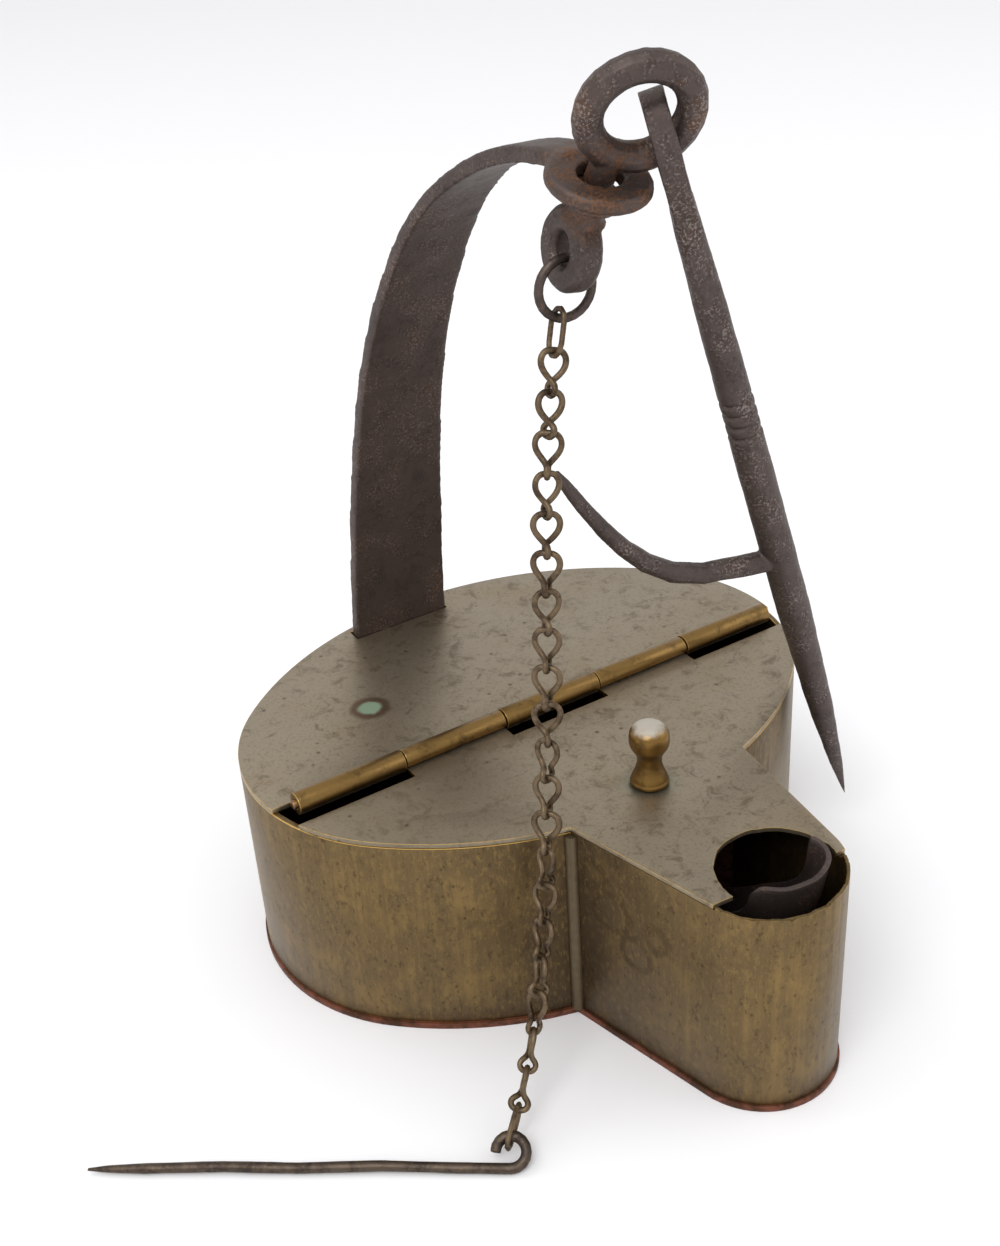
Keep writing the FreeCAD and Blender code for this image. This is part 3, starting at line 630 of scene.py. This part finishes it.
class BettyCovers(bpy.types.Operator):
    """Rear plate, lid and hinge pin, with rubbed rolls and a wandering cut for the wick"""
    bl_idname = "betty.covers"
    bl_label = "Covers"

    def execute(self, context):
        cover = cover_finish()
        worn = rubbed_finish("cover_edge", colours().worn, 0.26)
        rolls = rubbed_finish("hinge_rolls", colours().hinge, 0.24)
        bite = Vector((*BITE_CENTRE, 0))
        wander = sizes().bite_wander / MM

        def on_bite(place):
            return abs((Vector((place.x, place.y, 0)) - bite).length - BITE_RADIUS) < BITE_NEAR

        def wandering(place):
            out = (Vector((place.x, place.y, 0)) - bite).normalized()
            reach = noise.noise(out * 3.4) + 0.5 * noise.noise(out * 9.0)
            return place + out * (wander * reach)

        def rub_rolls(piece):
            for face in piece.data.polygons:
                if face.center.z / MM > COVER_TOP + ROLL_RISE:
                    face.material_index = 2

        def cut_lid(piece):
            rub_rolls(piece)
            chip_rim(piece, on_bite, 6, wandering)

        for node, shape in (("rear_plate", rub_rolls), ("lid", cut_lid)):
            sheet_piece(node, (cover, worn, rolls), sizes().sheet_edge, shape=shape)
        sheet_piece("hinge_pin", (rolls, rubbed_finish("pin_end", colours().pin_end, 0.35)), 0.2 * MM)
        return {"FINISHED"}


class BettyKnob(bpy.types.Operator):
    """Turned knob, drawn up from its rivet ring by ring"""
    bl_idname = "betty.knob"
    bl_label = "Knob"

    def execute(self, context):
        low, high = (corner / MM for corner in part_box("lid_knob"))
        broad = (high.x - low.x) / 2
        tall = high.z - COVER_TOP
        under = low.z
        # Radius and height of each ring, from the rivet under the lid to the crown
        stops = [(1.7, under + 0.3), (1.7, under + 0.48), (0.98, under + 0.5), (0.98, COVER_TOP)]
        stops += [(wide * broad, COVER_TOP + up * tall) for wide, up in KNOB_RINGS]
        put_down()
        radius, height = 1.2, under + 0.2
        bpy.ops.mesh.primitive_cylinder_add(
            vertices=40, radius=radius * MM, depth=0.2 * MM, end_fill_type="NGON",
            location=(0, KNOB_Y * MM, (under + 0.1) * MM))
        knob = bpy.context.object
        knob.name = "finished_lid_knob"
        bpy.ops.object.transform_apply(location=True, rotation=True, scale=True)
        bpy.ops.object.mode_set(mode="EDIT")
        bpy.ops.mesh.select_mode(type="FACE")
        bpy.ops.mesh.select_all(action="DESELECT")
        bpy.ops.object.mode_set(mode="OBJECT")
        top = max(knob.data.polygons, key=lambda face: face.center.z)
        top.select = True
        bpy.ops.object.mode_set(mode="EDIT")
        for wide, up in stops:
            bpy.ops.mesh.extrude_region_move(TRANSFORM_OT_translate={"value": (0, 0, (up - height) * MM)})
            ratio = wide / radius
            bpy.ops.transform.resize(value=(ratio, ratio, 1), center_override=(0, KNOB_Y * MM, up * MM))
            radius, height = wide, up
        bpy.ops.mesh.poke()
        bpy.ops.object.mode_set(mode="OBJECT")
        modify(knob, "SUBSURF", levels=1, render_levels=1)
        knob.data.materials.append(knob_finish())
        smooth_sheet(knob, RIM_ANGLE)
        stand_for(knob, "lid_knob")
        return {"FINISHED"}


def smooth_step(value, low, high):
    """0 below low, 1 above high, and smooth between them."""
    share = min(max((value - low) / (high - low), 0), 1)
    return share * share * (3 - 2 * share)


def trough_climb(depth):
    """The trough's slope at a way down from its mouth, where it climbs most steeply."""
    return sizes().trough_slope + MOUTH_CLIMB * (1 - smooth_step(depth, 1, 8))


def trough_point(share, depth, reach, mouth):
    """Where a point of the flat half tube comes to lie.

    share runs from -1 at the left lip to 1 at the right lip, depth is the way down from the mouth.
    At the mouth the left lip is spread and bent down, and the right lip stands up and curls in.
    """
    spot = Vector(mouth)
    step = 0.25
    gone = 0.0
    while gone < depth:
        move = min(step, depth - gone)
        slope = trough_climb(gone)
        lean = MOUTH_LEAN * (1 - smooth_step(gone, 0, 15))
        spot += Vector((-lean, math.cos(slope), -math.sin(slope))) * move
        gone += move
    slope = trough_climb(depth)
    bottom = Vector((0, -math.sin(slope), -math.cos(slope)))
    ahead = Vector((0, -math.cos(slope), math.sin(slope)))
    near = 1 - smooth_step(depth, 0, 10)
    turn = share * math.pi / 2 * (1 + near * (0.2 if share > 0 else 0.0))
    curl = 1 - near * 0.2 * max(share, 0) ** 6
    flare = 1 + near * (0.3 * max(-share, 0) ** 2 + 0.02 * max(share, 0) ** 2)
    side = math.sin(turn) * reach * curl * flare
    fall = math.cos(turn) * reach * curl * (1 - 0.22 * near)
    lip = 1 - smooth_step(depth, 0, 5)
    lift = lip * (1.1 * max(share, 0) - 2.2 * max(-share, 0) ** 7 + 0.25 * math.cos(share * 6))
    wave = noise.noise(Vector((share * 2.2, depth * 0.16, 4.0))) * 0.28
    return spot + Vector((side, 0, 0)) + bottom * (fall + wave) + ahead * lift


class BettyTrough(bpy.types.Operator):
    """Wick trough: half a sheet tube, bent out of true at its lips"""
    bl_idname = "betty.trough"
    bl_label = "Wick trough"

    def execute(self, context):
        low, high = (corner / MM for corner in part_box("wick_trough"))
        sheet = sizes().trough_sheet / MM
        reach = sizes().trough_radius / MM + sheet / 2
        put_down()
        bpy.ops.mesh.primitive_cylinder_add(
            vertices=64, radius=reach * MM, depth=TROUGH_RUN * MM, end_fill_type="NOTHING")
        trough = context.object
        trough.name = "finished_wick_trough"
        on_whole(trough, bpy.ops.mesh.bisect, plane_co=(0, 0, 0), plane_no=(0, 1, 0), clear_outer=True)
        pick_edges(trough, lambda first, second: abs(first.z - second.z) > TROUGH_RUN / 2)
        bpy.ops.mesh.subdivide(number_cuts=70)
        bpy.ops.object.mode_set(mode="OBJECT")
        mouth = Vector(((low.x + high.x) / 2 + TROUGH_MOUTH[0], TROUGH_MOUTH[1], TROUGH_MOUTH[2]))
        for vertex in trough.data.vertices:
            place = vertex.co / MM
            depth = TROUGH_RUN / 2 - place.z
            share = math.atan2(place.x, -place.y) / (math.pi / 2)
            vertex.co = trough_point(share, depth, reach, mouth) * MM
        floor = (0, 0, (low.z + sheet * 0.6) * MM)
        on_whole(trough, bpy.ops.mesh.bisect, plane_co=floor, plane_no=(0, 0, -1), clear_outer=True)
        on_whole(trough, bpy.ops.mesh.normals_make_consistent, inside=False)
        modify(trough, "SOLIDIFY", thickness=sheet * MM, offset=0)
        worn_bevel(trough, sizes().sheet_edge, RIM_ANGLE)
        trough.data.materials.append(iron_finish("trough_iron", 0.35, 0.4))
        trough.data.materials.append(iron_finish("trough_lip", 0.9, 0.1))
        smooth_sheet(trough)
        stand_for(trough, "wick_trough")
        return {"FINISHED"}


class BettyHandle(bpy.types.Operator):
    """Strap handle of forged iron with its rusty eye"""
    bl_idname = "betty.handle"
    bl_label = "Handle"

    def execute(self, context):
        finish = iron_finish("handle_iron", 0.35, 0.15, EYE_DISC, 9.0)
        iron_piece("handle", finish, sizes().handle_cell, 0.8)
        return {"FINISHED"}


def joint_of(node):
    return next(joint for joint in frame["joints"] if joint["child"] == node)


def swivel_piece(finish):
    """The swivel, with the broad shoulder that stops it in the handle's eye and a stouter lower eye."""
    hinge = joint_of("swivel")
    centre, up = Vector(hinge["pos_m"]), Vector(hinge["axis"]).normalized()
    piece = welded_copy("swivel")
    put_down()
    bpy.ops.mesh.primitive_cylinder_add(
        vertices=32, radius=SHOULDER_RADIUS * MM, depth=SHOULDER_THICK * MM,
        location=centre - up * SHOULDER_DOWN * MM, rotation=up.to_track_quat("Z", "Y").to_euler())
    shoulder = bpy.context.object
    modify(shoulder, "BEVEL", width=0.4 * MM, segments=2)
    piece.select_set(True)
    bpy.context.view_layer.objects.active = piece
    bpy.ops.object.join()
    forge(piece, "swivel", finish, sizes().iron_cell * 0.8, 0.7)
    points = np.array([tuple(v.co) for v in piece.data.vertices])
    down = -((points - np.array(centre)) @ np.array(up)) / MM
    eye = points[down > EYE_FROM + EYE_BLEND]
    middle = eye.mean(axis=0)
    flat = np.linalg.svd(eye - middle, full_matrices=False)[2][2]
    for vertex, deep in zip(piece.data.vertices, down):
        share = smooth_step(deep, EYE_FROM, EYE_FROM + EYE_BLEND)
        off = (Vector(vertex.co) - Vector(middle)).dot(Vector(flat))
        vertex.co += Vector(flat) * (off * share * (EYE_STOUTER - 1))


class BettyHanger(bpy.types.Operator):
    """Swivel and spike hanger"""
    bl_idname = "betty.hanger"
    bl_label = "Hanger"

    def execute(self, context):
        swivel_piece(iron_finish("swivel_iron", 0.6, 0.3, EYE_DISC, 8.0))
        iron_piece("spike_hanger", iron_finish("spike_iron", 0.6, 0.1), sizes().iron_cell, 0.8)
        return {"FINISHED"}


def figure_eight(wire):
    """One link at the origin: a long loop above and a short one below, square to it, with crossing legs."""
    around = [*LINK_HALF, *((-x, -y, z) for x, y, z in LINK_HALF[-2:0:-1])]
    path = bpy.data.curves.new("link path", "CURVE")
    path.dimensions = "3D"
    spline = path.splines.new("NURBS")
    spline.points.add(len(around) - 1)
    for point, place in zip(spline.points, around):
        point.co = (*(c * MM for c in place), 1)
    spline.order_u = 3
    spline.use_cyclic_u = True
    path.resolution_u = 5
    path.bevel_depth = wire * MM
    path.bevel_resolution = 2
    link = bpy.data.objects.new("link pattern", path)
    bpy.context.scene.collection.objects.link(link)
    take_up(link)
    bpy.ops.object.convert(target="MESH")
    return link


def link_place(node):
    """Where a link lies in the frame: its middle, its way up and the way its upper loop faces."""
    points = np.array([tuple(v.co) for v in frame["nodes"][node].data.vertices])
    middle = points.mean(axis=0)
    up = np.linalg.svd(points - middle, full_matrices=False)[2][0]
    if up @ (np.array(joint_of(node)["pos_m"]) - middle) < 0:
        up = -up
    heights = (points - middle) @ up
    middle = middle + up * (heights.max() + heights.min()) / 2
    flat = (points - middle) - np.outer((points - middle) @ up, up)
    across = np.linalg.svd(flat[(points - middle) @ up > 0.7 * MM], full_matrices=False)[2][0]
    return Vector(middle), Vector(up), Vector(across)


class BettyChain(bpy.types.Operator):
    """Chain ring, links and wick pick"""
    bl_idname = "betty.chain"
    bl_label = "Chain"

    def execute(self, context):
        ink = colours()
        ring = wire_finish("ring_iron", ink.iron, ink.pick_dark)
        wire = wire_finish("chain_wire", ink.wire, ink.wire_dark)
        pick = wire_finish("pick_wire", ink.pick, ink.pick_dark)
        iron_piece("chain_ring", ring, sizes().wire_cell, 0.2)
        links = sorted(node for node in frame["nodes"] if node.startswith("link_"))
        for node in (links[0], links[-1]):
            iron_piece(node, wire, sizes().wire_cell, 0.15)
        pattern = figure_eight(sizes().link_wire / MM)
        for count, node in enumerate(links[1:-1]):
            middle, up, across = link_place(node)
            lean = Quaternion(up, LINK_LEAN * math.sin(count * 2.3)) @ across
            side = up.cross(lean).normalized()
            lean = side.cross(up)
            turn = Matrix((lean, side, up)).transposed().to_4x4()
            link = pattern.copy()
            link.data = pattern.data.copy()
            link.name = "finished_" + node
            context.scene.collection.objects.link(link)
            wide = 1 + LINK_SPREAD * math.sin(count * 1.7)
            link.data.transform(Matrix.Translation(middle) @ turn @ Matrix.Diagonal((wide, wide, 1, 1)))
            link.data.materials.append(wire)
            link.data.shade_smooth()
            stand_for(link, node)
        bpy.data.objects.remove(pattern)
        iron_piece("wick_pick", pick, sizes().wire_cell * 1.3, 0.35)
        return {"FINISHED"}


class BettyStage(bpy.types.Operator):
    """Pale floor, soft lights and the camera at the photograph's place"""
    bl_idname = "betty.stage"
    bl_label = "Stage"

    def execute(self, context):
        scene = context.scene
        put_down()
        bpy.ops.mesh.primitive_plane_add(size=6)
        floor = context.object
        floor.name = "floor"
        paint = Paint("pale_floor")
        floor.data.materials.append(paint.finish(colours().floor, 0.7, 0.0))
        world = bpy.data.worlds.new("white room")
        world.use_nodes = True
        world.node_tree.nodes["Background"].inputs["Color"].default_value = (1, 1, 1, 1)
        world.node_tree.nodes["Background"].inputs["Strength"].default_value = SKY_STRENGTH
        scene.world = world
        for name, place, size, power in LIGHTS:
            bpy.ops.object.light_add(type="AREA", location=place)
            light = context.object
            light.name = name + "_light"
            light.data.size = size
            light.data.energy = power
            light.rotation_euler = (Vector(LIT_AT) - light.location).to_track_quat("-Z", "Y").to_euler()
        bpy.ops.object.camera_add(location=CAMERA_AT)
        camera = context.object
        camera.name = "camera"
        camera.rotation_euler = [math.radians(angle) for angle in CAMERA_TURN]
        camera.data.lens = CAMERA_LENS
        camera.data.shift_x, camera.data.shift_y = CAMERA_SHIFT
        camera.data.clip_start = 0.005
        scene.camera = camera
        scene.view_settings.view_transform = "Standard"
        return {"FINISHED"}


class BettyPanel(bpy.types.Panel):
    """Sizes, colours and pieces of the betty lamp"""
    bl_idname = "VIEW3D_PT_betty"
    bl_label = "Betty lamp"
    bl_space_type = "VIEW_3D"
    bl_region_type = "UI"
    bl_category = "Betty lamp"

    def draw(self, context):
        for group in (context.scene.betty_sizes, context.scene.betty_colours):
            box = self.layout.box()
            for name in group.__annotations__:
                box.prop(group, name)
        for step in steps:
            self.layout.operator(step.bl_idname)


steps = (BettyBody, BettyCovers, BettyKnob, BettyTrough, BettyHandle, BettyHanger, BettyChain, BettyStage)
classes = (BettySizes, BettyColours, *steps, BettyPanel)


def register():
    for kind in classes:
        bpy.utils.register_class(kind)
    bpy.types.Scene.betty_sizes = bpy.props.PointerProperty(type=BettySizes)
    bpy.types.Scene.betty_colours = bpy.props.PointerProperty(type=BettyColours)


def unregister():
    del bpy.types.Scene.betty_colours
    del bpy.types.Scene.betty_sizes
    for kind in reversed(classes):
        bpy.utils.unregister_class(kind)


def main():
    register()
    for step in steps:
        getattr(bpy.ops.betty, step.bl_idname.split(".")[1])()


if __name__ == "__main__":
    main()
